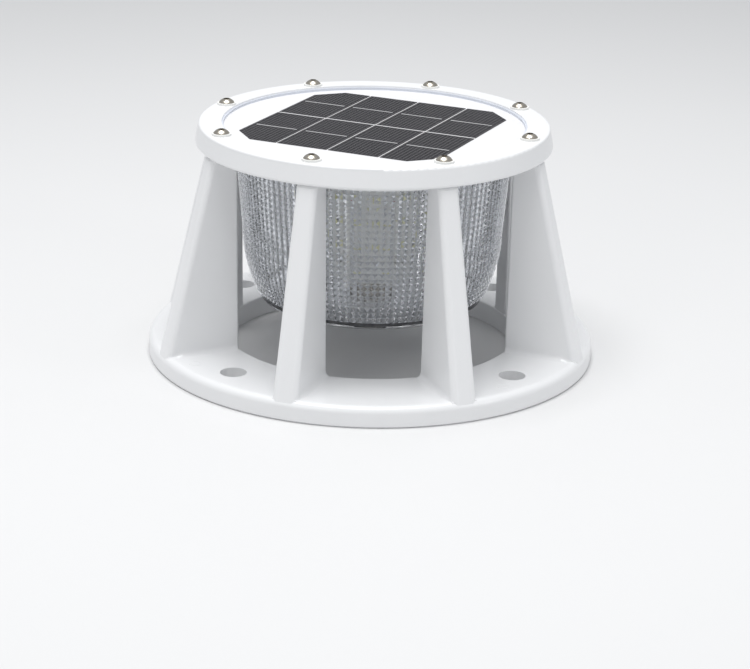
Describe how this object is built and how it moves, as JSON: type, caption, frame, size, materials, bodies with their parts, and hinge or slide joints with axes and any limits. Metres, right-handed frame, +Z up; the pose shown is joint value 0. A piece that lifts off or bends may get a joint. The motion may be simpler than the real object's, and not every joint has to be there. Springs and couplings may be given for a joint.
{
  "type": "solar post-top light",
  "caption": "Round solar light with a flush panel in a screwed lid, a prismatic bowl and a ribbed white base casting that bolts to a post top.",
  "frame": {"origin": "centre of the base ring's underside", "axes": "+Z up along the light's axis, towards the panel; -Y is the front, half way between two ribs"},
  "size_m": [0.26, 0.26, 0.1407],
  "materials": {
    "white_casting": "gloss white powder coat on cast aluminium",
    "brass": "turned, plain",
    "stainless": "polished stainless steel",
    "white_nylon": "moulded white nylon",
    "seal_rubber": "soft black rubber",
    "clear_lens": "clear moulded polycarbonate with small prisms",
    "panel_white": "white backing sheet",
    "cell_silicon": "dark monocrystalline silicon with fine silver lines",
    "clear_window": "clear glossy casting resin",
    "grey_sealant": "light grey sealant bead",
    "lead_insulation": "stranded lead with a soft sleeve",
    "bare_aluminium": "plain rolled aluminium",
    "zinc_screw": "zinc plated",
    "board_green": "green solder mask on glass fibre",
    "black_plastic": "black moulded plastic",
    "ferrite": "sintered grey ferrite",
    "drum_white": "white coated aluminium",
    "strip_white": "white solder mask",
    "phosphor": "yellow phosphor in silicone",
    "cell_wrap": "shrink sleeve",
    "nickel": "nickel strip",
    "foam": "closed cell foam",
    "switch_grey": "dark grey moulded button",
    "spring_steel": "spring wire"
  },
  "bodies": {
    "root": {"base_frame": "white_casting", "rib_inserts": "brass", "lid": "white_casting", "lid_screws": "stainless", "lid_washers": "white_nylon", "flange_gasket": "seal_rubber", "lens_bowl": "clear_lens", "lid_seal": "seal_rubber", "panel_backing": "panel_white", "solar_cells": "cell_silicon", "cell_busbars": "nickel", "panel_window": "clear_window", "panel_bead": "grey_sealant", "panel_leads": "lead_insulation", "lead_grommet": "seal_rubber", "carrier_plate": "bare_aluminium", "carrier_screws": "zinc_screw", "control_board": "board_green", "board_spacers": "white_nylon", "board_screws": "zinc_screw", "board_chips": "black_plastic", "board_inductor": "ferrite", "board_capacitors": "bare_aluminium", "board_connectors": "white_nylon", "lamp_drum": "drum_white", "drum_screws": "zinc_screw", "lamp_strips": "strip_white", "strip_screws": "zinc_screw", "lamp_emitters": "phosphor", "lamp_leads": "lead_insulation", "battery_cells": "cell_wrap", "battery_tray": "black_plastic", "battery_collar": "black_plastic", "battery_tabs": "nickel", "battery_pad": "foam", "battery_leads": "lead_insulation", "switch_barrel": "stainless", "switch_seal": "seal_rubber", "switch_nut": "brass", "switch_contacts": "black_plastic", "button_spring": "spring_steel", "switch_leads": "lead_insulation"},
    "button": {"switch_button": "switch_grey"}
  },
  "joints": [
    {"name": "button_press", "type": "slide", "parent": "root", "child": "button", "axis": [0, 0, 1], "range_m": [0, 0.0015], "stiffness_N_per_m": 800, "springref_m": -0.001, "deforming": ["button_spring"]}
  ]
}
